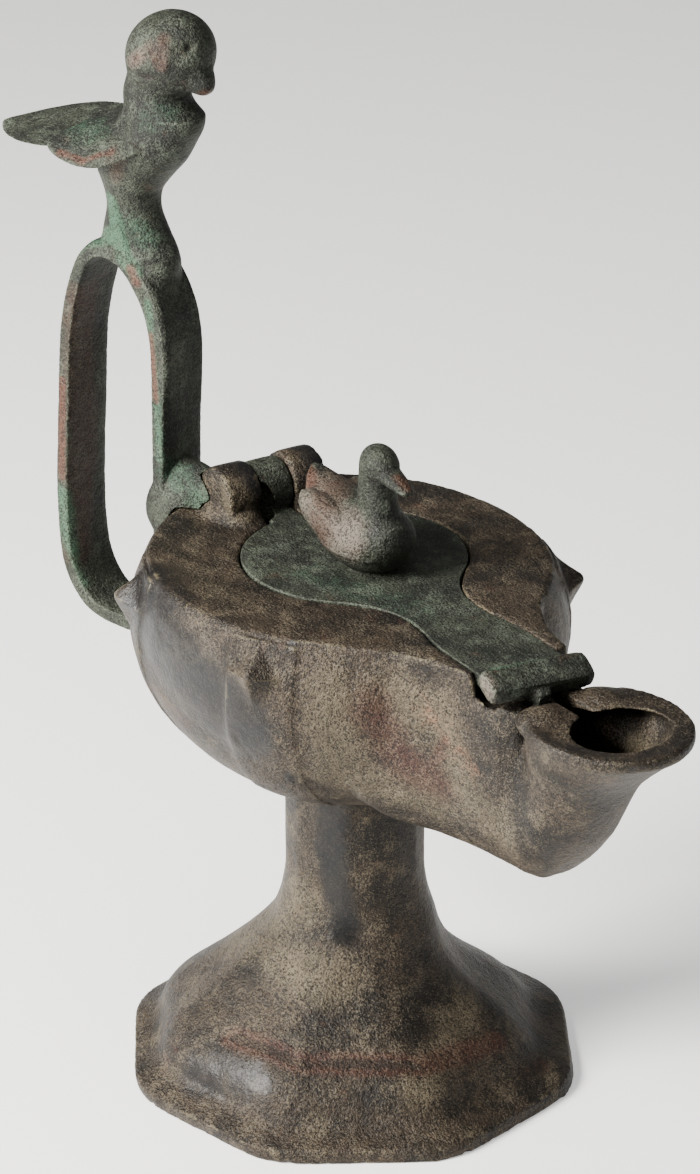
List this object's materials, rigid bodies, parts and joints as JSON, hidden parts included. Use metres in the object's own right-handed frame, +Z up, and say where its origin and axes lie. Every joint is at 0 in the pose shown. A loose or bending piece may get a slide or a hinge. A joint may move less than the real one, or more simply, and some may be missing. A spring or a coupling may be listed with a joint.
{
  "type": "bronze oil lamp",
  "caption": "Footed cast bronze oil lamp: pear-shaped reservoir with flared spout, hinged lid with a duck, and a tall looped handle topped by a bird.",
  "frame": {"origin": "on the level the foot stands on, under the middle of the whole lamp's box", "axes": "+Z up, +X towards the spout, -X towards the handle, +Y to the left of someone who looks along the spout"},
  "size_m": [0.1944, 0.0974, 0.2216],
  "materials": {
    "brown_bronze": "cast bronze with a brown-olive patina, polished dark patches and fine sandy speckle",
    "green_bronze": "cast bronze with a grey-green patina, verdigris edges and coppery worn edges",
    "pin_bronze": "dark worn bronze rod"
  },
  "bodies": {
    "lamp": {"lamp_body": "brown_bronze", "handle": "green_bronze", "hinge_pin": "pin_bronze"},
    "lid": {"lid": "green_bronze"}
  },
  "joints": [
    {"name": "lid_hinge", "type": "hinge", "parent": "lamp", "child": "lid", "pos_m": [-0.03689, -0.00026, 0.12], "axis": [-0.0523, -0.9986, 0], "range_deg": [0, 75]}
  ]
}
